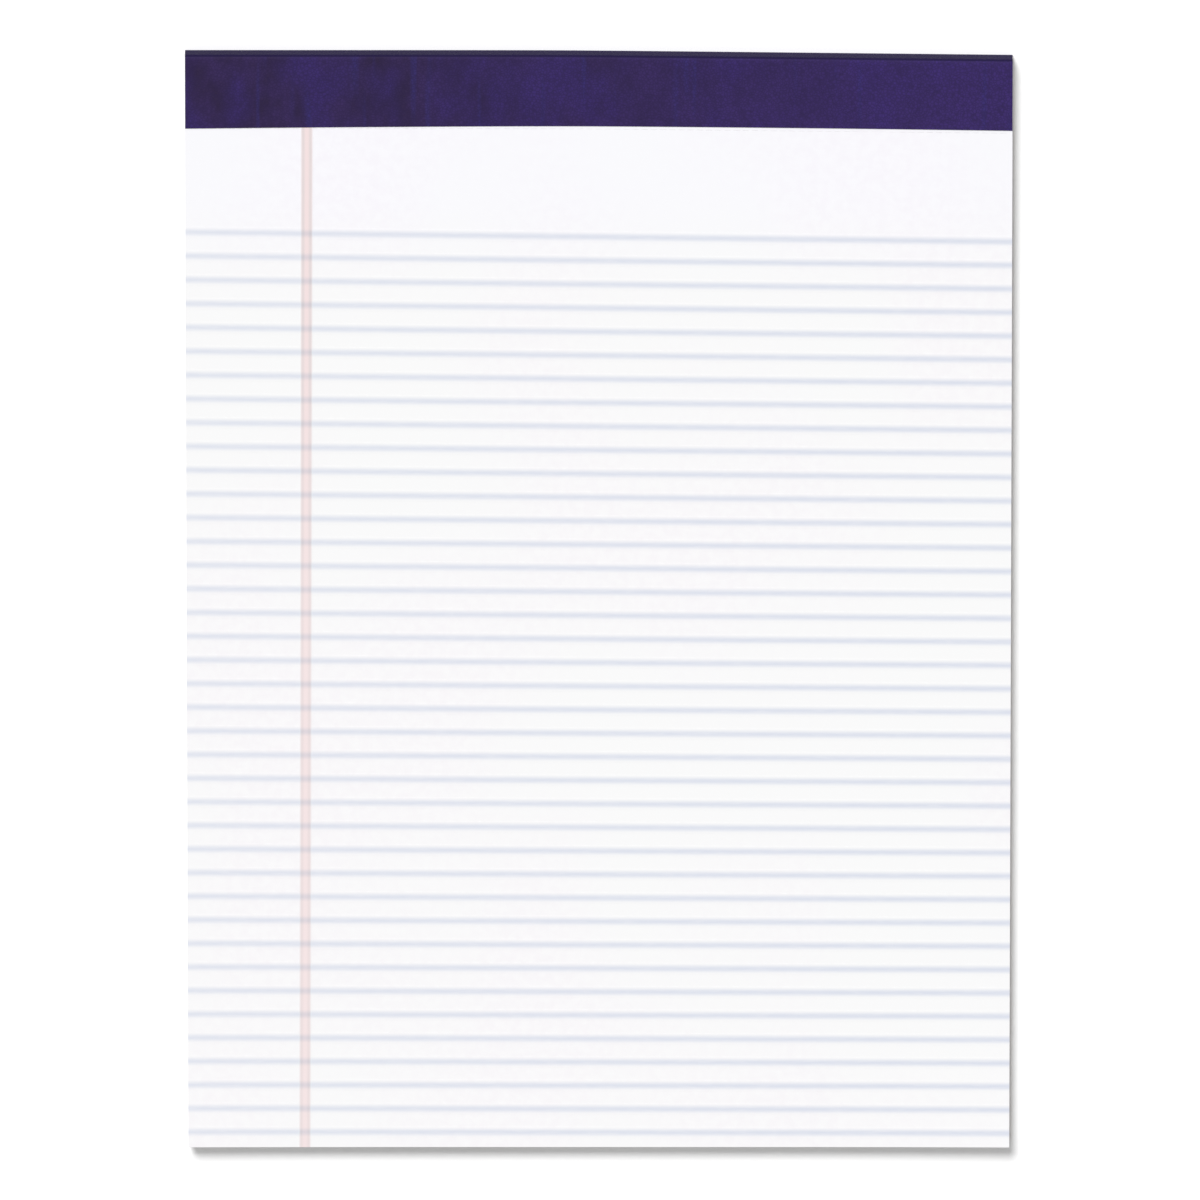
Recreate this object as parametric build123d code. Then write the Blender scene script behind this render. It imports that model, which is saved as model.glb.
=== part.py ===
from build123d import *
import os

# A legal pad lying face up: ruled sheets stapled to a stiff board, with one strip of binding tape
# folded over the head. X runs across the sheet, Y runs up the page to the bound head, and Z is the
# thickness. The origin is on the surface that the pad lies on, under the middle of the pad.
# All sizes are in millimetres.

# Sheets and board, cut together so that their sides and feet are flush
page_width = 215.9
page_length = 298.45
sheet_count = 50
sheet_thickness = 0.09
board_thickness = 0.7
sheets_head_radius = 0.8  # the first sheets step back at the head, pulled round by the tape
board_head_radius = 0.35  # the same on the board's edge, which gives less

# Binding tape
tape_thickness = 0.18
front_flap_length = 19.2  # from the head to the tape's edge on the first sheet
back_flap_length = 18.0  # the same on the back, folded a little short
fold_clearance = 0.05  # the tape's inner folds are this much tighter than the edges they cover
reach = 0.001  # tolerance for finding an edge or a corner by its place

# Tear line through all the sheets, just clear of the tape
tear_line_gap = 0.7  # from the tape's edge to the middle of the slits
slit_length = 1.6
slit_width = 0.22
slit_tie = 0.8  # uncut paper between two slits
slit_margin = 1.2  # least uncut paper at each side of the sheet

# Wire staples, driven from the front and clinched behind
staple_crown_length = 12.0
staple_clinch_length = 4.0
staple_spacing = 74.0
staple_from_head = 10.0
wire_diameter = 0.5
wire_bend_radius = 0.7
wire_clearance = 0.03  # around the wire, in the hole and grooves that it presses for itself
wire_cover = 0.06  # from the wire to the tape, in front and behind
staple_names = ("left", "centre", "right")

# Levels and places worked out from the sizes above
board_bottom = tape_thickness
board_top = board_bottom + board_thickness
sheets_top = board_top + sheet_count * sheet_thickness
tape_top = sheets_top + tape_thickness
overall_length = page_length + tape_thickness
foot_y = -overall_length / 2
sheet_head_y = foot_y + page_length
head_y = sheet_head_y + tape_thickness
tear_line_y = head_y - front_flap_length - tear_line_gap
staple_y = head_y - staple_from_head
wire_radius = wire_diameter / 2
groove_radius = wire_radius + wire_clearance
crown_z = sheets_top - wire_cover - wire_radius
clinch_z = board_bottom + wire_cover + wire_radius
sheets_round = min(sheets_head_radius, (sheets_top - board_top) / 2)
board_round = min(board_head_radius, board_thickness / 2)


def block(x_size, y_low, y_high, z_low, z_high, x=0.0):
    """A box between two levels in Y and Z, centred on x."""
    middle = (x, (y_low + y_high) / 2, (z_low + z_high) / 2)
    return Pos(*middle) * Box(x_size, y_high - y_low, z_high - z_low)


def head_edge(solid, z):
    """The edge of a solid that runs across the pad at the head of the sheets, at the given Z."""
    across = solid.edges().filter_by(Axis.X)
    at_head = across.filter_by_position(Axis.Y, sheet_head_y - reach, sheet_head_y + reach)
    return at_head.filter_by_position(Axis.Z, z - reach, z + reach)


def staple_shape(x, radius):
    """Round wire along a staple's crown, legs and inward clinches."""
    half_crown = staple_crown_length / 2
    path = FilletPolyline(
        (x - half_crown + staple_clinch_length, staple_y, clinch_z),
        (x - half_crown, staple_y, clinch_z),
        (x - half_crown, staple_y, crown_z),
        (x + half_crown, staple_y, crown_z),
        (x + half_crown, staple_y, clinch_z),
        (x + half_crown - staple_clinch_length, staple_y, clinch_z),
        radius=wire_bend_radius,
    )
    section = Plane(origin=path @ 0, z_dir=path % 0) * Circle(radius)
    return sweep(section, path=path)


def staple_room(x):
    """What a staple presses out of the sheets and the board: two holes and the open grooves."""
    y_low = staple_y - groove_radius
    y_high = staple_y + groove_radius
    room = staple_shape(x, groove_radius)
    room += block(
        staple_crown_length + 2 * groove_radius, y_low, y_high, crown_z - groove_radius, tape_top, x
    )
    for side in (-1, 1):
        room += block(
            staple_clinch_length + 2 * groove_radius,
            y_low,
            y_high,
            0.0,
            clinch_z + groove_radius,
            x + side * (staple_crown_length - staple_clinch_length) / 2,
        )
    return room


def tear_line():
    """One row of slits across the sheets, as many as the width holds."""
    pitch = slit_length + slit_tie
    count = int((page_width - 2 * slit_margin + slit_tie) // pitch)
    slit = block(
        slit_length,
        tear_line_y - slit_width / 2,
        tear_line_y + slit_width / 2,
        board_top,
        sheets_top,
    )
    return [Pos((place - (count - 1) / 2) * pitch, 0, 0) * slit for place in range(count)]


def page_block(rooms):
    """All the sheets, as one solid."""
    sheets = block(page_width, foot_y, sheet_head_y, board_top, sheets_top)
    sheets = fillet(head_edge(sheets, sheets_top), sheets_round)
    return sheets - rooms - tear_line()


def backboard(rooms):
    """The stiff board behind the sheets."""
    board = block(page_width, foot_y, sheet_head_y, board_bottom, board_top)
    board = fillet(head_edge(board, board_bottom), board_round)
    return board - rooms


def corner(section, y, z):
    """The corner of a flat section, drawn with Y across and Z up, at the given place."""
    at_y = section.vertices().filter_by_position(Axis.X, y - reach, y + reach)
    return at_y.filter_by_position(Axis.Y, z - reach, z + reach)


def binding_tape():
    """One strip folded over the head, glued flat to the first sheet, the head and the board."""
    section = make_face(
        Polyline(
            (head_y - front_flap_length, tape_top),
            (head_y, tape_top),
            (head_y, 0.0),
            (head_y - back_flap_length, 0.0),
            (head_y - back_flap_length, board_bottom),
            (sheet_head_y, board_bottom),
            (sheet_head_y, sheets_top),
            (head_y - front_flap_length, sheets_top),
            close=True,
        )
    )
    for level, outer_level, edge_radius in (
        (sheets_top, tape_top, sheets_round),
        (board_bottom, 0.0, board_round),
    ):
        inner_radius = edge_radius - fold_clearance
        section = fillet(corner(section, sheet_head_y, level), inner_radius)
        section = fillet(corner(section, head_y, outer_level), inner_radius + tape_thickness)
    return extrude(Plane.YZ * section, page_width / 2, both=True)


def write(name, shape):
    export_step(shape, f"parts/{name}.step")


os.makedirs("parts", exist_ok=True)

middle_staple = (len(staple_names) - 1) / 2
staple_places = [(place - middle_staple) * staple_spacing for place in range(len(staple_names))]
staple_rooms = [staple_room(x) for x in staple_places]

write("page_block", page_block(staple_rooms))
write("backboard", backboard(staple_rooms))
write("binding_tape", binding_tape())
for staple_name, x in zip(staple_names, staple_places):
    write(f"staple_{staple_name}", staple_shape(x, wire_radius))
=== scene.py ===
import bpy
import math
import random
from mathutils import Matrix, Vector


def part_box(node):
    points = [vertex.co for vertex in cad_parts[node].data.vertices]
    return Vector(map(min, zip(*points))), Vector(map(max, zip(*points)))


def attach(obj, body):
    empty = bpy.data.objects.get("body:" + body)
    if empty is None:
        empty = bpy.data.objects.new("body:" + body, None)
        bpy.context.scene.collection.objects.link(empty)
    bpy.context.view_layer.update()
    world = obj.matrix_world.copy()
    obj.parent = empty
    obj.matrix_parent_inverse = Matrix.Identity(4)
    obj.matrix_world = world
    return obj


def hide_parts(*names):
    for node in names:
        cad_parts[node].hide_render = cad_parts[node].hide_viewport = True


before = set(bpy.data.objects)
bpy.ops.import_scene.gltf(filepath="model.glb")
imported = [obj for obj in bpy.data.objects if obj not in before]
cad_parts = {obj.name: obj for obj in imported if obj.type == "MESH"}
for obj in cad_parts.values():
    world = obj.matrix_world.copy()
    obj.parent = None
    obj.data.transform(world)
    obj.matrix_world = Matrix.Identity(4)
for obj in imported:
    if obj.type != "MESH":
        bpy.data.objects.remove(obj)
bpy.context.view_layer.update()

# ---------------------------------------------------------------------------------------------
# Sizes, in metres. The pad lies face up: X across the sheet, Y up the page, Z the thickness.
# ---------------------------------------------------------------------------------------------

MM = 0.001
TOUCH = 0.01 * MM  # nearer than this, two places are one

SHEETS_LOW, SHEETS_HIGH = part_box("page_block")
BOARD_LOW, BOARD_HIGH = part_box("backboard")
TAPE_LOW, TAPE_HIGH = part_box("binding_tape")

HALF_WIDTH = SHEETS_HIGH.x
FOOT = SHEETS_LOW.y
HEAD = TAPE_HIGH.y
SHEET_HEAD = SHEETS_HIGH.y
PAGE_TOP = SHEETS_HIGH.z

# Leaves
LEAF_COUNT = 50
LEAF_SEED = 50
LEAF_PITCH = (SHEETS_HIGH.z - SHEETS_LOW.z) / LEAF_COUNT
LEAF_GAP = 0.008 * MM  # air between two leaves
LEAF_CELL = 13.5 * MM  # spacing of the cuts that let a leaf bend
LEAF_WANDER = 0.035 * MM  # how far one leaf's edge may stand from the next one's
LEAF_REACH = 0.12 * MM  # and the furthest that any leaf stands out
HEAD_ROUND = 0.8 * MM  # the first leaves step back at the head, as the tape pulls them round
CORNER_REACH = 60 * MM  # how far in from a foot corner the first leaves begin to rise
RIGHT_RISE = 0.42 * MM
LEFT_RISE = 0.26 * MM
COOL_ABOVE = 35 * MM  # below the head: the sheet is cool down to here
NEUTRAL_BELOW = 65 * MM  # and neutral from here on
FACE_UPRIGHT = 0.7  # a normal that points up or down by more than this is on a leaf's face

BOARD_CRUSH = 0.15 * MM  # the guillotine rounds the board's cut edges by this much
CRUSH_SEGMENTS = 3

# Tear line
SLIT_LENGTH = 1.6 * MM
SLIT_TIE = 0.8 * MM  # the paper left between two slits
SLIT_WIDTH = 0.03 * MM
SLIT_COUNT = 89
TEAR_LINE = 19.9 * MM  # below the head

# Ruling
RULE_COUNT = 39
FIRST_RULE = 49.35 * MM  # below the head
LAST_RULE = 4.05 * MM  # above the foot
RULE_PITCH = (HEAD - FOOT - FIRST_RULE - LAST_RULE) / (RULE_COUNT - 1)
RULE_SPREAD = 1.5 * MM  # how far a rule's ink has soaked out from its middle
FIRST_SLOPE = 0.0122  # the sheet ran a little askew through the ruler, most at its head
LAST_SLOPE = 0.0016
MARGIN_X = 31.25 * MM - HALF_WIDTH  # half way down the page
MARGIN_GAP = 1.9 * MM  # between the middles of the two margin lines
MARGIN_SPREAD = 0.75 * MM  # how far one line's soft edge reaches from its middle
MARGIN_SLOPE = 0.004
MARGIN_FADED = -20 * MM  # the margin is palest below here
MARGIN_FULL = 100 * MM  # and full above here
INK_LIFT = 0.02 * MM  # the printed strips lie on the sheet
MARGIN_LIFT = 0.028 * MM  # and the margin, printed last, lies over the rules

# The whole head was trimmed a little low towards the right
HEAD_ASKEW = 0.0112  # how much it drops for each unit across
ASKEW_FROM = -8 * MM  # where the drop begins
ASKEW_EASE = 15 * MM  # and how gently it begins
ASKEW_END = 49 * MM  # below the head, where the drop has faded out
ASKEW_FADE = 28 * MM  # and the length over which it fades

# Binding tape
TAPE_THICKNESS = 0.18 * MM
TOP_FOLD = 0.93 * MM
BOTTOM_FOLD = 0.48 * MM
FOLD_SEGMENTS = 8
FRONT_FLAP = HEAD - TAPE_LOW.y
BACK_FLAP = 18.0 * MM
FLAP_NARROW = 19.0 * MM  # the front flap is narrowest here
FLAP_NARROW_AT = 45 * MM
FLAP_BOW = 0.8 * MM  # and wider by this much at FLAP_BOW_REACH either side
FLAP_BOW_REACH = 150 * MM
STAPLE_SPACING = 74 * MM
STAPLE_FROM_HEAD = 10 * MM
STAPLE_HALF_CROWN = 6 * MM
STAPLE_SWELL = 0.03 * MM  # how much a staple shows through the tape
SWELL_REACH = 0.9 * MM  # and how far beside its wire
FLAP_CUTS = ((10 * MM, 9), (3 * MM, 5), (1.2 * MM, 2))  # edges longer than this: so many cuts
ACROSS_CUTS = (17, 19)
SMOOTH_BELOW = math.radians(40)  # edges that turn less than this are shaded smooth

# The tape's painted shade and painted highlight, by place: near its folds, and by height on the head
CLEAR_OF_FOLD = 5 * MM  # below the head
NEAR_FOLD = 2.5 * MM
FOLD_SHADE_BEGINS = 0.01 * MM  # below the tape's own top
FOLD_SHADE_DARKEST = 0.28 * MM
LOW_HIGHLIGHT_BEGINS = 1.9 * MM  # above the floor
LOW_HIGHLIGHT_STRONGEST = 0.4 * MM


# ---------------------------------------------------------------------------------------------
# Materials
# ---------------------------------------------------------------------------------------------


def linear(code):
    """The linear colour of an sRGB hex code."""
    parts = [int(code[place : place + 2], 16) / 255 for place in (1, 3, 5)]
    parts = [p / 12.92 if p <= 0.04045 else ((p + 0.055) / 1.055) ** 2.4 for p in parts]
    return (*parts, 1.0)


def cells(x, y, z):
    """The scale that fits one cell of a pattern into so many millimetres along each axis."""
    return (1 / (x * MM), 1 / (y * MM), 1 / (z * MM))


def add(tree, kind, inputs, out=0, **settings):
    """Adds a node. Each input is given a number, a hex colour or the output that feeds it."""
    node = tree.nodes.new("ShaderNode" + kind)
    for name, value in settings.items():
        setattr(node, name, value)
    for place, value in inputs.items():
        if isinstance(value, bpy.types.NodeSocket):
            tree.links.new(value, node.inputs[place])
        elif isinstance(value, str):
            node.inputs[place].default_value = linear(value)
        else:
            node.inputs[place].default_value = value
    return node.outputs[out]


SOFT = {"interpolation_type": "SMOOTHSTEP"}
COLOURS = {"out": 2, "data_type": "RGBA"}


def new_material(name, roughness, specular, metallic=0.0):
    """A material, its nodes, its shader, and the place in metres that its patterns read."""
    material = bpy.data.materials.new(name)
    material.use_nodes = True
    tree = material.node_tree
    shader = tree.nodes["Principled BSDF"]
    shader.inputs["Roughness"].default_value = roughness
    shader.inputs["Specular IOR Level"].default_value = specular
    shader.inputs["Metallic"].default_value = metallic
    return material, tree, shader, add(tree, "TexCoord", {}, "Object")


def paper_face(tree, place):
    """Bleached writing paper, with the faint clouds of its pulp: cool at its head, neutral below."""
    pulp = add(tree, "TexNoise", {"Vector": place, "Scale": 1 / (2.6 * MM), "Detail": 3.0})
    pulp = add(tree, "MapRange", {"Value": pulp, "From Min": 0.3, "From Max": 0.7}, **SOFT)
    sheet = add(tree, "Mix", {0: pulp, 6: "#E7E5EA", 7: "#E9E8EC"}, **COLOURS)
    at = add(tree, "Mapping", {"Vector": place, "Scale": cells(60, 90, 60)})
    drift = add(tree, "TexNoise", {"Vector": at, "Scale": 1.0, "Detail": 1.0})
    drift = add(tree, "MapRange", {"Value": drift, "From Min": 0.35, "From Max": 0.65}, **SOFT)
    sheet = add(tree, "Mix", {0: drift, 6: sheet, 7: "#E8E8EB"}, **COLOURS)
    y = add(tree, "SeparateXYZ", {0: place}, 1)
    below = {"Value": y, "From Min": HEAD - COOL_ABOVE, "From Max": HEAD - NEUTRAL_BELOW}
    neutral = {0: add(tree, "MapRange", below, **SOFT), 6: sheet, 7: "#FFFFFC"}
    return add(tree, "Mix", neutral, blend_type="MULTIPLY", **COLOURS)


def paper_tooth(tree, place, shader):
    """The fine tooth of uncoated paper, drawn 0.25 mm apart, coarse enough to show."""
    fibres = {"Vector": place, "Scale": 1 / (0.25 * MM), "Detail": 3.0, "Roughness": 0.6}
    height = add(tree, "TexNoise", fibres)
    bump = {"Height": height, "Strength": 0.12, "Distance": 0.02 * MM}
    tree.links.new(add(tree, "Bump", bump), shader.inputs["Normal"])


def rule_ink(tree, place):
    """How much blue ink lies at a place: 1 on a rule, 0 between, soft at its edges.

    The rules' slope changes evenly down the page, so the place is first carried along its rule
    to the middle of the sheet.
    """
    x, y = add(tree, "SeparateXYZ", {0: place}).node.outputs[:2]
    last_y = FOOT + LAST_RULE
    slopes = {"To Min": LAST_SLOPE, "To Max": FIRST_SLOPE}
    down = {"Value": y, "From Min": last_y, "From Max": HEAD - FIRST_RULE}
    slope = add(tree, "MapRange", {**down, **slopes})
    level = add(tree, "Math", {0: x, 1: slope, 2: y}, operation="MULTIPLY_ADD")
    level = add(tree, "Math", {0: level, 1: last_y}, operation="SUBTRACT")
    away = add(tree, "Math", {0: level, 1: RULE_PITCH / 2}, operation="PINGPONG")
    edges = {"From Min": RULE_SPREAD, "From Max": 0.0}
    ink = add(tree, "MapRange", {"Value": away, **edges}, **SOFT)
    header = (RULE_COUNT - 0.5) * RULE_PITCH
    ruled = add(tree, "Math", {0: level, 1: header}, operation="LESS_THAN")
    return add(tree, "Math", {0: ink, 1: ruled}, operation="MULTIPLY")


def writing_paper():
    """Bleached uncoated writing paper, about 58 g/m2, trimmed in a guillotine.

    Its face is a flat white with no shine. Its stacked edges are a warmer white, lined along
    the leaves, banded where a few leaves stand proud, and faintly nicked across by the blade.
    """
    material, tree, shader, place = new_material("bleached_writing_paper", 0.82, 0.35)
    at = add(tree, "Mapping", {"Vector": place, "Scale": cells(40, 40, 0.16)})
    leaves = add(tree, "TexNoise", {"Vector": at, "Scale": 1.0})
    leaves = add(tree, "MapRange", {"Value": leaves, "From Min": 0.35, "From Max": 0.65}, **SOFT)
    cut = add(tree, "Mix", {0: leaves, 6: "#C9C7C5", 7: "#EDECEA"}, **COLOURS)
    at = add(tree, "Mapping", {"Vector": place, "Scale": cells(90, 90, 0.6)})
    bands = add(tree, "TexNoise", {"Vector": at, "Scale": 1.0, "Detail": 1.0})
    bands = add(tree, "MapRange", {"Value": bands, "From Min": 0.4, "From Max": 0.6}, **SOFT)
    cut = add(tree, "Mix", {0: bands, 6: cut, 7: "#F0EFED"}, **COLOURS)
    at = add(tree, "Mapping", {"Vector": place, "Scale": cells(0.5, 0.5, 12)})
    nicks = add(tree, "TexNoise", {"Vector": at, "Scale": 1.0})
    nicks = add(tree, "MapRange", {"Value": nicks, "From Min": 0.5, "From Max": 0.85}, **SOFT)
    cut = add(tree, "Mix", {0: nicks, 6: cut, 7: "#E1E0DE"}, **COLOURS)

    normal = add(tree, "NewGeometry", {}, "True Normal")
    upright = add(tree, "SeparateXYZ", {0: normal}, 2)
    upright = add(tree, "Math", {0: upright}, operation="ABSOLUTE")
    flat = add(tree, "Math", {0: upright, 1: FACE_UPRIGHT}, operation="GREATER_THAN")
    seen = add(tree, "Mix", {0: flat, 6: cut, 7: paper_face(tree, place)}, **COLOURS)
    tree.links.new(seen, shader.inputs["Base Color"])
    paper_tooth(tree, place, shader)
    return material


def blue_ruling_ink():
    """Thin water-based ruling ink, laid by a pen and soaked into the paper.

    It is a pale greyed blue, softer at its edges, a little uneven along the line and laid
    thinner towards the left.
    """
    material, tree, shader, place = new_material("blue_ruling_ink", 0.8, 0.35)
    at = add(tree, "Mapping", {"Vector": place, "Scale": cells(5, 0.6, 5)})
    flow = add(tree, "TexNoise", {"Vector": at, "Scale": 1.0, "Detail": 3.0})
    flow = add(tree, "MapRange", {"Value": flow, "From Min": -0.9, "From Max": 0.55})
    across = {"From Min": -HALF_WIDTH, "From Max": HALF_WIDTH, "To Min": 0.83, "To Max": 1.0}
    laid = add(tree, "MapRange", {"Value": add(tree, "SeparateXYZ", {0: place}), **across})
    flow = add(tree, "Math", {0: flow, 1: laid}, operation="MULTIPLY")
    amount = {0: rule_ink(tree, place), 1: flow}
    amount = add(tree, "Math", amount, operation="MULTIPLY")
    inked = add(tree, "Mix", {0: amount, 6: paper_face(tree, place), 7: "#CCD0DB"}, **COLOURS)
    tree.links.new(inked, shader.inputs["Base Color"])
    paper_tooth(tree, place, shader)
    return material


def red_margin_ink():
    """Red ruling ink, thinned to pink and soaked into the paper, over the blue rules.

    Two soft lines stand in a paler wash, both a little stronger towards the head.
    """
    material, tree, shader, place = new_material("red_margin_ink", 0.8, 0.35)
    x, y = add(tree, "SeparateXYZ", {0: place}).node.outputs[:2]
    middle = {0: y, 1: MARGIN_SLOPE, 2: MARGIN_X}
    middle = add(tree, "Math", middle, operation="MULTIPLY_ADD")
    away = add(tree, "Math", {0: x, 1: middle}, operation="SUBTRACT")
    away = add(tree, "Math", {0: away}, operation="ABSOLUTE")
    from_line = add(tree, "Math", {0: away, 1: MARGIN_GAP / 2}, operation="SUBTRACT")
    either_side = add(tree, "Math", {0: from_line}, operation="ABSOLUTE")
    edges = {"From Min": MARGIN_SPREAD, "From Max": 0.0}
    wash = add(tree, "MapRange", {"Value": from_line, **edges}, **SOFT)
    line = add(tree, "MapRange", {"Value": either_side, **edges}, **SOFT)

    at = add(tree, "Mapping", {"Vector": place, "Scale": cells(0.8, 7, 5)})
    flow = add(tree, "TexNoise", {"Vector": at, "Scale": 1.0, "Detail": 3.0})
    flow = add(tree, "MapRange", {"Value": flow, "From Min": -0.5, "From Max": 0.6})
    fading = {"Value": y, "From Min": MARGIN_FADED, "From Max": MARGIN_FULL}
    wash_left = add(tree, "MapRange", {"To Min": 0.86, **fading}, **SOFT)
    line_left = add(tree, "MapRange", {"To Min": 0.58, **fading}, **SOFT)
    wash = add(tree, "Math", {0: wash, 1: wash_left}, operation="MULTIPLY")
    line = add(tree, "Math", {0: line, 1: line_left}, operation="MULTIPLY")
    line = add(tree, "Math", {0: line, 1: flow}, operation="MULTIPLY")
    pink = add(tree, "Mix", {0: wash, 6: paper_face(tree, place), 7: "#E3D1D1"}, **COLOURS)
    pink = add(tree, "Mix", {0: line, 6: pink, 7: "#D3C9C9"}, **COLOURS)
    crossed = {0: rule_ink(tree, place), 6: pink, 7: "#E8EFF6"}
    inked = add(tree, "Mix", crossed, blend_type="MULTIPLY", **COLOURS)
    tree.links.new(inked, shader.inputs["Base Color"])
    paper_tooth(tree, place, shader)
    return material


def grained_binding_paper():
    """Saturated binding paper in a dark purple dye, embossed with a fine leather grain.

    It gives the eye a deep blue purple, mottled in blotches of 7 to 10 mm and a little cooler
    towards the right, over pebbles of about 0.8 mm that break up a low sheen. Painted shade
    darkens the pebbles' valleys, and is darkest over the head fold and down the head. A painted
    highlight makes the head paler towards the floor.
    """
    material, tree, shader, place = new_material("grained_binding_paper", 0.6, 0.08)
    at = add(tree, "Mapping", {"Vector": place, "Scale": cells(7, 10, 7)})
    blotches = {"Vector": at, "Scale": 1.0, "Detail": 4.0, "Roughness": 0.6}
    blotches = add(tree, "TexNoise", blotches)
    blotches = {"Value": blotches, "From Min": 0.3, "From Max": 0.7}
    blotches = add(tree, "MapRange", blotches, **SOFT)
    dye_and_painted_light = add(tree, "Mix", {0: blotches, 6: "#2B213C", 7: "#362853"}, **COLOURS)
    at = add(tree, "Mapping", {"Vector": place, "Scale": cells(13, 22, 13)})
    cool = add(tree, "TexNoise", {"Vector": at, "Scale": 1.0})
    cool = {"Value": cool, "From Min": 0.45, "From Max": 0.7, "To Max": 0.6}
    cool = add(tree, "MapRange", cool, **SOFT)
    dye_and_painted_light = add(tree, "Mix", {0: cool, 6: dye_and_painted_light, 7: "#382A6A"}, **COLOURS)
    along, down, up = add(tree, "SeparateXYZ", {0: place}).node.outputs
    cooler = {"Value": along, "From Min": -45 * MM, "From Max": HALF_WIDTH, "To Max": 0.8}
    cooler = add(tree, "MapRange", cooler)
    dye_and_painted_light = add(tree, "Mix", {0: cooler, 6: dye_and_painted_light, 7: "#3B2B6A"}, **COLOURS)
    at = add(tree, "Mapping", {"Vector": place, "Scale": cells(3.5, 60, 60)})
    streaks = add(tree, "TexNoise", {"Vector": at, "Scale": 1.0, "Detail": 1.0})
    streaks = {"Value": streaks, "From Min": 0.6, "From Max": 0.75, "To Max": 0.5}
    streaks = add(tree, "MapRange", streaks, **SOFT)
    dye_and_painted_light = add(tree, "Mix", {0: streaks, 6: dye_and_painted_light, 7: "#342F6E"}, **COLOURS)
    specks = add(tree, "TexNoise", {"Vector": place, "Scale": 1 / (1.3 * MM)})
    specks = {"Value": specks, "From Min": 0.35, "From Max": 0.7, "To Max": 0.3}
    specks = add(tree, "MapRange", specks, **SOFT)
    dye_and_painted_light = add(tree, "Mix", {0: specks, 6: dye_and_painted_light, 7: "#2A2144"}, **COLOURS)

    pebbles = {"Vector": place, "Scale": 1 / (0.8 * MM), "Randomness": 0.9}
    pebbles = add(tree, "TexVoronoi", pebbles, "Distance", feature="DISTANCE_TO_EDGE")
    domes = add(tree, "MapRange", {"Value": pebbles, "From Max": 0.22}, **SOFT)
    # painted shade: the valleys between the pebbles are darker
    valley_shade = {"Value": pebbles, "From Max": 0.22, "To Min": 0.5, "To Max": 0.0}
    valley_shade = add(tree, "MapRange", valley_shade, **SOFT)
    dye_and_painted_light = add(tree, "Mix", {0: valley_shade, 6: dye_and_painted_light, 7: "#281E40"}, **COLOURS)
    fine = {"Vector": place, "Scale": 1 / (0.3 * MM), "Detail": 3.0, "Roughness": 0.6}
    fine = add(tree, "TexNoise", fine)
    height = add(tree, "Math", {0: fine, 1: 0.45, 2: domes}, operation="MULTIPLY_ADD")

    near_fold = {"Value": down, "From Min": HEAD - CLEAR_OF_FOLD, "From Max": HEAD - NEAR_FOLD}
    near_fold = add(tree, "MapRange", near_fold, **SOFT)
    # painted shade: darkest over the head fold and down the head, near the head only
    fold = {"From Min": TAPE_HIGH.z - FOLD_SHADE_BEGINS, "From Max": TAPE_HIGH.z - FOLD_SHADE_DARKEST}
    fold = add(tree, "MapRange", {"Value": up, "To Max": 0.93, **fold}, **SOFT)
    fold = add(tree, "Math", {0: fold, 1: near_fold}, operation="MULTIPLY")
    dye_and_painted_light = add(tree, "Mix", {0: fold, 6: dye_and_painted_light, 7: "#180F34"}, **COLOURS)
    # painted highlight: the head turns paler towards the floor, with a ragged edge
    ragged = add(tree, "Math", {0: fine, 1: MM, 2: up}, operation="MULTIPLY_ADD")
    lower_highlight = {"From Min": LOW_HIGHLIGHT_BEGINS, "From Max": LOW_HIGHLIGHT_STRONGEST, "To Max": 0.28}
    lower_highlight = add(tree, "MapRange", {"Value": ragged, **lower_highlight}, **SOFT)
    lower_highlight = add(tree, "Math", {0: lower_highlight, 1: near_fold}, operation="MULTIPLY")
    dye_and_painted_light = add(tree, "Mix", {0: lower_highlight, 6: dye_and_painted_light, 7: "#6B6088"}, **COLOURS)

    rough = add(tree, "Math", {0: fine, 1: 0.2, 2: 0.55}, operation="MULTIPLY_ADD")
    bump = {"Height": height, "Strength": 0.5, "Distance": 0.05 * MM}
    tree.links.new(dye_and_painted_light, shader.inputs["Base Color"])
    tree.links.new(rough, shader.inputs["Roughness"])
    tree.links.new(add(tree, "Bump", bump), shader.inputs["Normal"])
    return material


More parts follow.
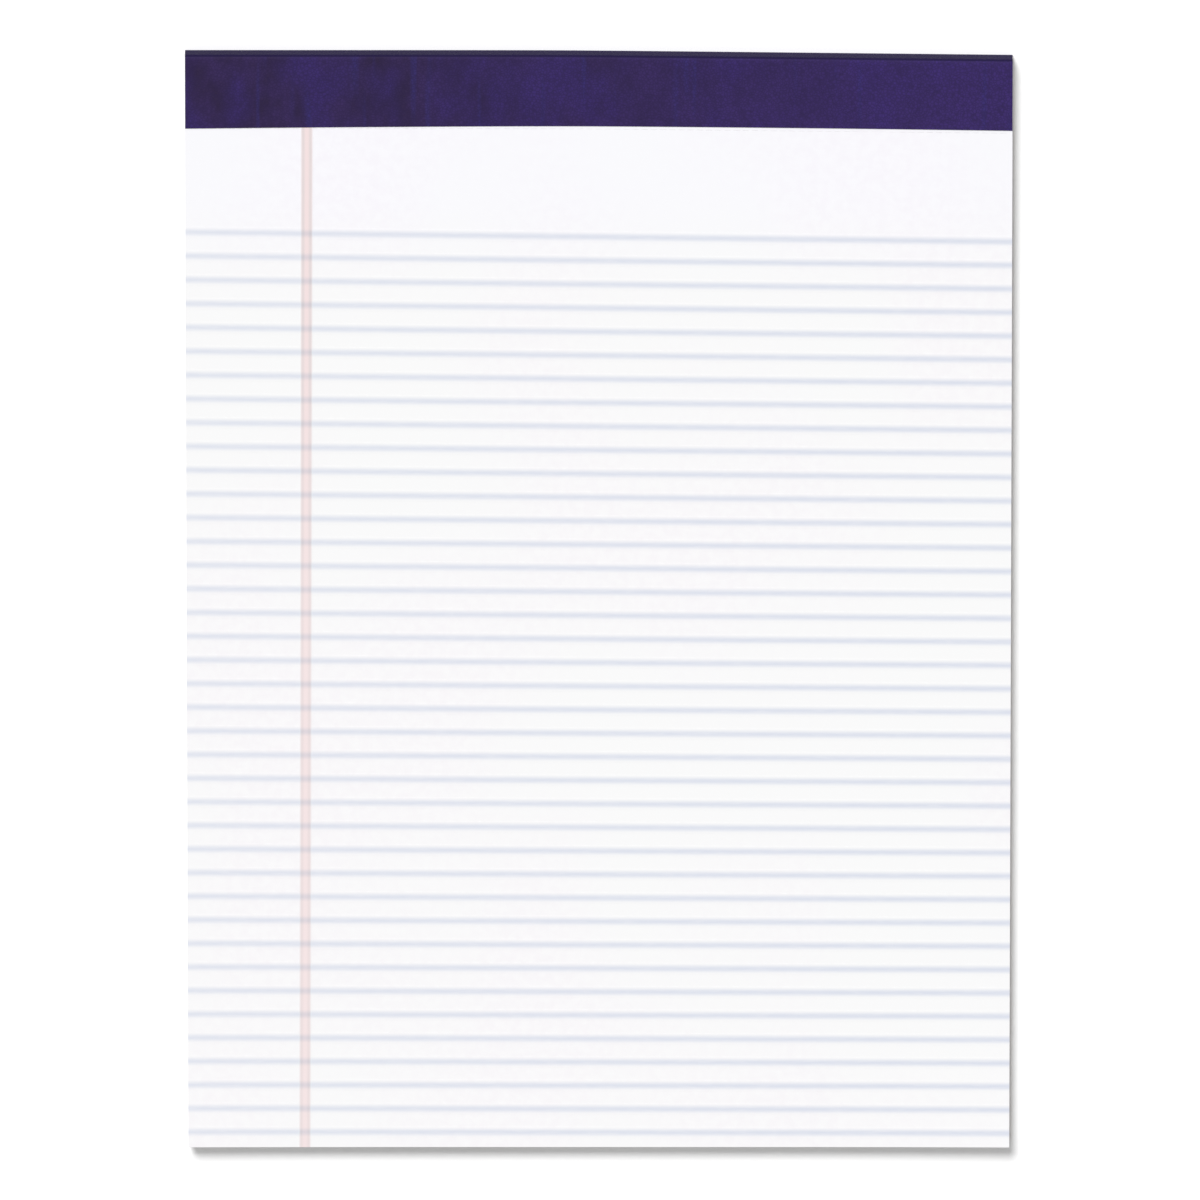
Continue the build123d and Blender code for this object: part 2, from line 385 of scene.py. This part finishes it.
def grey_chipboard():
    """Unlined chipboard pressed from waste paper.

    It is a dull grey brown, flecked with darker and paler fibres, and its cut edge shows layers.
    """
    material, tree, shader, place = new_material("grey_chipboard", 0.88, 0.3)
    at = add(tree, "Mapping", {"Vector": place, "Scale": cells(1.5, 1.5, 0.6)})
    pulp = add(tree, "TexNoise", {"Vector": at, "Scale": 1.0, "Detail": 4.0, "Roughness": 0.65})
    pulp = add(tree, "MapRange", {"Value": pulp, "From Min": 0.3, "From Max": 0.7}, **SOFT)
    board = add(tree, "Mix", {0: pulp, 6: "#8F8371", 7: "#A09585"}, **COLOURS)
    at = add(tree, "Mapping", {"Vector": place, "Scale": cells(9, 9, 0.12)})
    layers = add(tree, "TexNoise", {"Vector": at, "Scale": 1.0})
    layers = {"Value": layers, "From Min": 0.4, "From Max": 0.65, "To Max": 0.25}
    layers = add(tree, "MapRange", layers, **SOFT)
    board = add(tree, "Mix", {0: layers, 6: board, 7: "#7A6E5D"}, **COLOURS)
    at = add(tree, "Mapping", {"Vector": place, "Scale": cells(1.6, 0.25, 0.25)})
    dark = add(tree, "TexNoise", {"Vector": at, "Scale": 1.0})
    dark = {"Value": dark, "From Min": 0.6, "From Max": 0.75, "To Max": 0.6}
    dark = add(tree, "MapRange", dark, **SOFT)
    board = add(tree, "Mix", {0: dark, 6: board, 7: "#63584A"}, **COLOURS)
    at = add(tree, "Mapping", {"Vector": place, "Scale": cells(0.3, 1.9, 0.3)})
    pale = add(tree, "TexNoise", {"Vector": at, "Scale": 1.0})
    pale = {"Value": pale, "From Min": 0.66, "From Max": 0.8, "To Max": 0.6}
    pale = add(tree, "MapRange", pale, **SOFT)
    board = add(tree, "Mix", {0: pale, 6: board, 7: "#C9C0B0"}, **COLOURS)
    tree.links.new(board, shader.inputs["Base Color"])
    at = add(tree, "Mapping", {"Vector": place, "Scale": cells(0.5, 0.5, 0.15)})
    height = add(tree, "TexNoise", {"Vector": at, "Scale": 1.0, "Detail": 3.0})
    bump = {"Height": height, "Strength": 0.4, "Distance": 0.04 * MM}
    tree.links.new(add(tree, "Bump", bump), shader.inputs["Normal"])
    return material


def galvanised_stitching_wire():
    """Galvanised steel wire, drawn through a die: a soft grey shine, finely streaked along it."""
    material, tree, shader, place = new_material("galvanised_stitching_wire", 0.4, 0.5, 1.0)
    at = add(tree, "Mapping", {"Vector": place, "Scale": cells(3, 0.05, 0.05)})
    drawn = add(tree, "TexNoise", {"Vector": at, "Scale": 1.0})
    zinc = add(tree, "Mix", {0: drawn, 6: "#8E9194", 7: "#B4B6B8"}, **COLOURS)
    rough = add(tree, "Math", {0: drawn, 1: 0.2, 2: 0.3}, operation="MULTIPLY_ADD")
    tree.links.new(zinc, shader.inputs["Base Color"])
    tree.links.new(rough, shader.inputs["Roughness"])
    return material


# ---------------------------------------------------------------------------------------------
# Modelling steps shared by the pieces
# ---------------------------------------------------------------------------------------------


def start_box(name, low, high):
    """A new box between two corners, with its place in its mesh."""
    bpy.ops.object.select_all(action="DESELECT")
    middle = [(a + b) / 2 for a, b in zip(low, high)]
    size = [b - a for a, b in zip(low, high)]
    bpy.ops.mesh.primitive_cube_add(size=1, location=middle, scale=size)
    piece = bpy.context.active_object
    piece.name = name
    piece.data.name = name
    bpy.ops.object.transform_apply(location=True, rotation=True, scale=True)
    return piece


def work_on(piece):
    """Makes one piece the only selected and the active one."""
    bpy.ops.object.select_all(action="DESELECT")
    piece.select_set(True)
    bpy.context.view_layer.objects.active = piece


def cut_into_cells(piece, axis, cell):
    """Cuts a piece through at even places along one axis, so that it can bend there."""
    low = min(vertex.co[axis] for vertex in piece.data.vertices)
    high = max(vertex.co[axis] for vertex in piece.data.vertices)
    count = max(1, round((high - low) / cell))
    normal = [float(place == axis) for place in range(3)]
    work_on(piece)
    bpy.ops.object.mode_set(mode="EDIT")
    for cut in range(1, count):
        point = [0.0, 0.0, 0.0]
        point[axis] = low + (high - low) * cut / count
        bpy.ops.mesh.select_all(action="SELECT")
        bpy.ops.mesh.bisect(plane_co=point, plane_no=normal)
    bpy.ops.object.mode_set(mode="OBJECT")


def select_edges(piece, wanted):
    """Selects the edges whose two ends pass a test, and nothing else, ready for edit mode."""
    bpy.context.tool_settings.mesh_select_mode = (False, True, False)
    mesh = piece.data
    for part in (*mesh.vertices, *mesh.polygons):
        part.select = False
    for edge in mesh.edges:
        first, second = (mesh.vertices[place] for place in edge.vertices)
        edge.select = wanted(first.co, second.co)
        if edge.select:
            first.select = second.select = True


def apply_modifiers(piece):
    """Makes a piece's modifiers part of its mesh, in their order."""
    work_on(piece)
    for modifier in list(piece.modifiers):
        bpy.ops.object.modifier_apply(modifier=modifier.name)


def copy_of(piece, name):
    """A copy with its own mesh."""
    work_on(piece)
    bpy.ops.object.duplicate(linked=False)
    twin = bpy.context.active_object
    twin.name = name
    twin.data.name = name
    return twin


def join(pieces, name):
    """Several meshes made one piece, each still its own closed shell."""
    bpy.ops.object.select_all(action="DESELECT")
    for piece in pieces:
        piece.select_set(True)
    bpy.context.view_layer.objects.active = pieces[0]
    bpy.ops.object.join()
    whole = bpy.context.active_object
    whole.name = name
    whole.data.name = name
    return whole


def wear(piece, material):
    """Gives a new piece its finish, and lets it ride with the pad."""
    piece.data.materials.clear()
    piece.data.materials.append(material)
    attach(piece, "root")


def head_drop(x, y):
    """How far the head is trimmed down at x. It fades out on the way down the page."""
    beyond = x - ASKEW_FROM
    drop = HEAD_ASKEW / 2 * (beyond + math.hypot(beyond, ASKEW_EASE))
    share = (y - (HEAD - ASKEW_END)) / ASKEW_FADE
    return drop * max(0.0, min(1.0, share))


def leaf_rise(x, y, level):
    """How far a leaf has risen at a place. level is 0 for the last leaf and 1 for the first.

    The loose leaves ease apart at the two foot corners, the first ones most.
    """
    rise = 0.0
    for side, height in ((1, RIGHT_RISE), (-1, LEFT_RISE)):
        away = (HALF_WIDTH - side * x) + (y - FOOT)
        rise += height * max(0.0, 1 - away / CORNER_REACH) ** 2
    return rise * level**3


# ---------------------------------------------------------------------------------------------
# Leaves
# ---------------------------------------------------------------------------------------------


def slit_cutter():
    """A row of thin blades on the tear line."""
    blade_top = PAGE_TOP + LEAF_PITCH
    blade_bottom = PAGE_TOP - 2 * LEAF_PITCH
    first = -(SLIT_COUNT - 1) / 2 * (SLIT_LENGTH + SLIT_TIE)
    y = HEAD - TEAR_LINE
    blade = start_box(
        "tear_line_blade",
        (first - SLIT_LENGTH / 2, y - SLIT_WIDTH / 2, blade_bottom),
        (first + SLIT_LENGTH / 2, y + SLIT_WIDTH / 2, blade_top),
    )
    row = blade.modifiers.new("row", "ARRAY")
    row.count = SLIT_COUNT
    row.use_relative_offset = False
    row.use_constant_offset = True
    row.constant_offset_displace = (SLIT_LENGTH + SLIT_TIE, 0, 0)
    apply_modifiers(blade)
    return blade


def make_leaf():
    """The first leaf: a thin sheet with its tear line, cut so that it can bend."""
    leaf = start_box(
        "top_leaf",
        (-HALF_WIDTH, FOOT, PAGE_TOP - LEAF_PITCH + LEAF_GAP),
        (HALF_WIDTH, SHEET_HEAD, PAGE_TOP),
    )
    cut_into_cells(leaf, 0, LEAF_CELL)
    cut_into_cells(leaf, 1, LEAF_CELL)
    blade = slit_cutter()
    slits = leaf.modifiers.new("tear line", "BOOLEAN")
    slits.operation = "DIFFERENCE"
    slits.solver = "EXACT"
    slits.object = blade
    apply_modifiers(leaf)
    bpy.data.objects.remove(blade)
    return leaf


def lay_leaf(leaf, drop, shift_x, shift_y):
    """Puts a leaf at its level in the pile, with its corners eased up and its head set back."""
    level = 1 - drop / (SHEETS_HIGH.z - SHEETS_LOW.z)
    into_round = max(0.0, HEAD_ROUND - drop)
    set_back = HEAD_ROUND - math.sqrt(HEAD_ROUND**2 - into_round**2)
    for vertex in leaf.data.vertices:
        x, y, z = vertex.co
        if y > SHEET_HEAD - TOUCH:
            y -= set_back
        else:
            y += shift_y
        y -= head_drop(x, y)
        vertex.co = (x + shift_x, y, z - drop + leaf_rise(x, y, level))


def make_pile(leaf):
    """All the other leaves, each its own sheet, not quite flush after the guillotine."""
    random.seed(LEAF_SEED)
    pile = []
    shift_x = shift_y = 0.0
    for place in range(1, LEAF_COUNT):
        shift_x += random.uniform(-LEAF_WANDER, LEAF_WANDER)
        shift_y += random.uniform(-LEAF_WANDER, LEAF_WANDER)
        shift_x = max(-LEAF_REACH, min(LEAF_REACH, shift_x))
        shift_y = max(-LEAF_REACH, min(LEAF_REACH, shift_y))
        below = copy_of(leaf, f"leaf_{place:02d}")
        lay_leaf(below, place * LEAF_PITCH, shift_x, shift_y)
        pile.append(below)
    return join(pile, "leaves_below")


# ---------------------------------------------------------------------------------------------
# Ruling
# ---------------------------------------------------------------------------------------------


def lay_print(strip, slope_across=0.0, slope_down=0.0):
    """Lays a printed strip askew on the first leaf."""
    for vertex in strip.data.vertices:
        x, y, z = vertex.co
        y -= slope_across * x
        x += slope_down * y
        vertex.co = (x, y, z + leaf_rise(x, y, 1.0))


def make_rules():
    """The blue rules, from edge to edge of the sheet, as thin strips of ink."""
    first_y = HEAD - FIRST_RULE
    rule = start_box(
        "blue_rules",
        (-HALF_WIDTH, first_y - RULE_SPREAD, PAGE_TOP),
        (HALF_WIDTH, first_y + RULE_SPREAD, PAGE_TOP + INK_LIFT),
    )
    cut_into_cells(rule, 0, LEAF_CELL)
    rules = []
    for row in range(1, RULE_COUNT):
        strip = copy_of(rule, f"rule_{row:02d}")
        for vertex in strip.data.vertices:
            vertex.co.y -= row * RULE_PITCH
        share = row / (RULE_COUNT - 1)
        lay_print(strip, FIRST_SLOPE + (LAST_SLOPE - FIRST_SLOPE) * share)
        rules.append(strip)
    lay_print(rule, FIRST_SLOPE)
    return join([rule, *rules], "blue_rules")


def make_margin():
    """The margin, one strip of ink from the tape to the foot."""
    half = MARGIN_GAP / 2 + MARGIN_SPREAD
    strip = start_box(
        "margin",
        (MARGIN_X - half, FOOT, PAGE_TOP),
        (MARGIN_X + half, HEAD - flap_length(MARGIN_X), PAGE_TOP + MARGIN_LIFT),
    )
    cut_into_cells(strip, 1, LEAF_CELL)
    lay_print(strip, slope_down=MARGIN_SLOPE)
    return strip


# ---------------------------------------------------------------------------------------------
# Backboard
# ---------------------------------------------------------------------------------------------


def make_board():
    """One stiff sheet under the leaves, trimmed with them."""
    board = start_box("chipboard_back", BOARD_LOW, BOARD_HIGH)
    select_edges(board, lambda a, b: abs(a.z - b.z) < TOUCH)
    bpy.ops.object.mode_set(mode="EDIT")
    bpy.ops.mesh.bevel(offset=BOARD_CRUSH, segments=CRUSH_SEGMENTS, profile=0.5, affect="EDGES")
    bpy.ops.object.mode_set(mode="OBJECT")
    cut_into_cells(board, 0, LEAF_CELL)
    cut_into_cells(board, 1, LEAF_CELL)
    for vertex in board.data.vertices:
        vertex.co.y -= head_drop(vertex.co.x, vertex.co.y)
    return board


# ---------------------------------------------------------------------------------------------
# Binding tape
# ---------------------------------------------------------------------------------------------


def flap_length(x):
    """How far the front flap reaches below the head: the strip was laid with a slight bow."""
    return FLAP_NARROW + FLAP_BOW * ((x - FLAP_NARROW_AT) / FLAP_BOW_REACH) ** 2


def extrude_by(offset):
    """Extrudes what is selected in edit mode."""
    bpy.ops.mesh.extrude_region_move(TRANSFORM_OT_translate={"value": offset})


def round_fold(piece, z, radius):
    """Rounds the fold at the head that lies at the given height."""
    select_edges(
        piece,
        lambda a, b: all(abs(end.y - HEAD) < TOUCH and abs(end.z - z) < TOUCH for end in (a, b)),
    )
    bpy.ops.object.mode_set(mode="EDIT")
    bpy.ops.mesh.bevel(offset=radius, segments=FOLD_SEGMENTS, profile=0.5, affect="EDGES")
    bpy.ops.object.mode_set(mode="OBJECT")


def divide_edges(piece, wanted, cuts):
    """Cuts each edge whose ends pass a test into equal parts, and the faces with them."""
    select_edges(piece, wanted)
    bpy.ops.object.mode_set(mode="EDIT")
    bpy.ops.mesh.subdivide(number_cuts=cuts)
    bpy.ops.object.mode_set(mode="OBJECT")


def swell(x, y):
    """The faint rise of the tape over a staple's crown."""
    over = 0.0
    for staple in (-1, 0, 1):
        along = max(0.0, abs(x - staple * STAPLE_SPACING) - STAPLE_HALF_CROWN)
        across = y - (HEAD - STAPLE_FROM_HEAD)
        over += math.exp(-(along**2 + across**2) / SWELL_REACH**2)
    return over * STAPLE_SWELL


def make_tape():
    """One strip folded over the head: front flap, head and back flap."""
    bpy.ops.object.select_all(action="DESELECT")
    bpy.ops.mesh.primitive_plane_add(
        size=1,
        location=(0, HEAD - FRONT_FLAP / 2, TAPE_HIGH.z),
    )
    tape = bpy.context.active_object
    tape.name = "grained_tape"
    tape.data.name = "grained_tape"
    tape.scale = (2 * HALF_WIDTH, FRONT_FLAP, 1)
    bpy.ops.object.transform_apply(location=True, rotation=True, scale=True)

    select_edges(tape, lambda a, b: all(abs(end.y - HEAD) < TOUCH for end in (a, b)))
    bpy.ops.object.mode_set(mode="EDIT")
    extrude_by((0, 0, -TAPE_HIGH.z))
    extrude_by((0, -BACK_FLAP, 0))
    bpy.ops.object.mode_set(mode="OBJECT")
    round_fold(tape, TAPE_HIGH.z, TOP_FOLD)
    round_fold(tape, 0.0, BOTTOM_FOLD)

    # a fine grid, so that the flaps can bow and swell
    for least, cuts in FLAP_CUTS:
        divide_edges(
            tape,
            lambda a, b: abs(a.x - b.x) < TOUCH and (a - b).length > least,
            cuts,
        )
    for cuts in ACROSS_CUTS:
        divide_edges(tape, lambda a, b: abs(a.x - b.x) > TOUCH, cuts)

    for vertex in tape.data.vertices:
        x, y, z = vertex.co
        if z > TAPE_HIGH.z - TOUCH:
            down = (HEAD - TOP_FOLD - y) / (FRONT_FLAP - TOP_FOLD)
            y += (FRONT_FLAP - flap_length(x)) * max(0.0, down)
            z += swell(x, y)
        vertex.co = (x, y - head_drop(x, y), z)

    wall = tape.modifiers.new("paper thickness", "SOLIDIFY")
    wall.thickness = TAPE_THICKNESS
    wall.offset = -1
    apply_modifiers(tape)
    bpy.ops.object.shade_smooth_by_angle(angle=SMOOTH_BELOW)
    return tape


# ---------------------------------------------------------------------------------------------
# The pad
# ---------------------------------------------------------------------------------------------

paper = writing_paper()

top_leaf = make_leaf()
leaves_below = make_pile(top_leaf)
lay_leaf(top_leaf, 0.0, 0.0, 0.0)
wear(top_leaf, paper)
wear(leaves_below, paper)
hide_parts("page_block")
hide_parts("page_block")

blue_rules = make_rules()
wear(blue_rules, blue_ruling_ink())

wear(make_margin(), red_margin_ink())

board = make_board()
wear(board, grey_chipboard())
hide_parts("backboard")

tape = make_tape()
wear(tape, grained_binding_paper())
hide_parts("binding_tape")

wire = galvanised_stitching_wire()
for staple in ("staple_left", "staple_centre", "staple_right"):
    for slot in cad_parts[staple].material_slots:
        slot.material = wire


# ---------------------------------------------------------------------------------------------
# Floor, light and camera
# ---------------------------------------------------------------------------------------------

FLOOR_SIZE = 60.0
FLOOR_LEVEL = -0.01 * MM  # just under the pad, so that the two faces never coincide

bpy.ops.object.select_all(action="DESELECT")
bpy.ops.mesh.primitive_plane_add(size=FLOOR_SIZE, location=(0, 0, FLOOR_LEVEL))
floor = bpy.context.active_object
floor.name = "studio_floor"
bpy.ops.object.transform_apply(location=True, rotation=True, scale=True)
# matt seamless paper, so white that only the pad's shadow shows on it
floor_paper, _, floor_shader, _ = new_material("white_studio_paper", 1.0, 0.0)
floor_shader.inputs["Base Color"].default_value = linear("#FBFBFB")
floor.data.materials.append(floor_paper)

WORLD_STRENGTH = 0.45
KEY_STRENGTH = 3.09  # W/m2 on a surface that faces it
KEY_SIZE = math.radians(25)
KEY_FROM_LEFT = 0.38  # how far the light leans, for each unit that it is above the pad
KEY_FROM_HEAD = 0.8
KEY_PLACE = (-0.2, 0.7, 1.0)  # a sun lights evenly from anywhere; this keeps it out of the pad

world = bpy.data.worlds.new("studio")
bpy.context.scene.world = world
world.use_nodes = True
world.node_tree.nodes["Background"].inputs["Color"].default_value = (1, 1, 1, 1)
world.node_tree.nodes["Background"].inputs["Strength"].default_value = WORLD_STRENGTH

bpy.ops.object.light_add(type="SUN", location=KEY_PLACE)
key = bpy.context.active_object
key.name = "key_light"
key.data.energy = KEY_STRENGTH
key.data.angle = KEY_SIZE
key.rotation_euler = (
    -math.atan(KEY_FROM_HEAD),
    -math.atan(KEY_FROM_LEFT / math.hypot(1, KEY_FROM_HEAD)),
    0,
)

CAMERA_LENS = 1150  # mm: a far, narrow view, so the pad's sides stay parallel
CAMERA_SENSOR = 36  # mm
CAMERA_NEAREST = 1.0
CAMERA_FURTHEST = 100.0
CAMERA_DISTANCE = 10.04
CAMERA_TILT = math.radians(16.75)  # from straight above, towards the head
AIM = (0.31 * MM, 0.95 * MM, PAGE_TOP)

bpy.ops.object.camera_add(
    location=(
        AIM[0],
        AIM[1] + CAMERA_DISTANCE * math.sin(CAMERA_TILT),
        AIM[2] + CAMERA_DISTANCE * math.cos(CAMERA_TILT),
    ),
    rotation=(-CAMERA_TILT, 0, 0),
)
camera = bpy.context.active_object
camera.name = "camera"
camera.data.lens = CAMERA_LENS
camera.data.sensor_width = CAMERA_SENSOR
camera.data.clip_start = CAMERA_NEAREST
camera.data.clip_end = CAMERA_FURTHEST
bpy.context.scene.camera = camera
bpy.context.scene.view_settings.view_transform = "Standard"
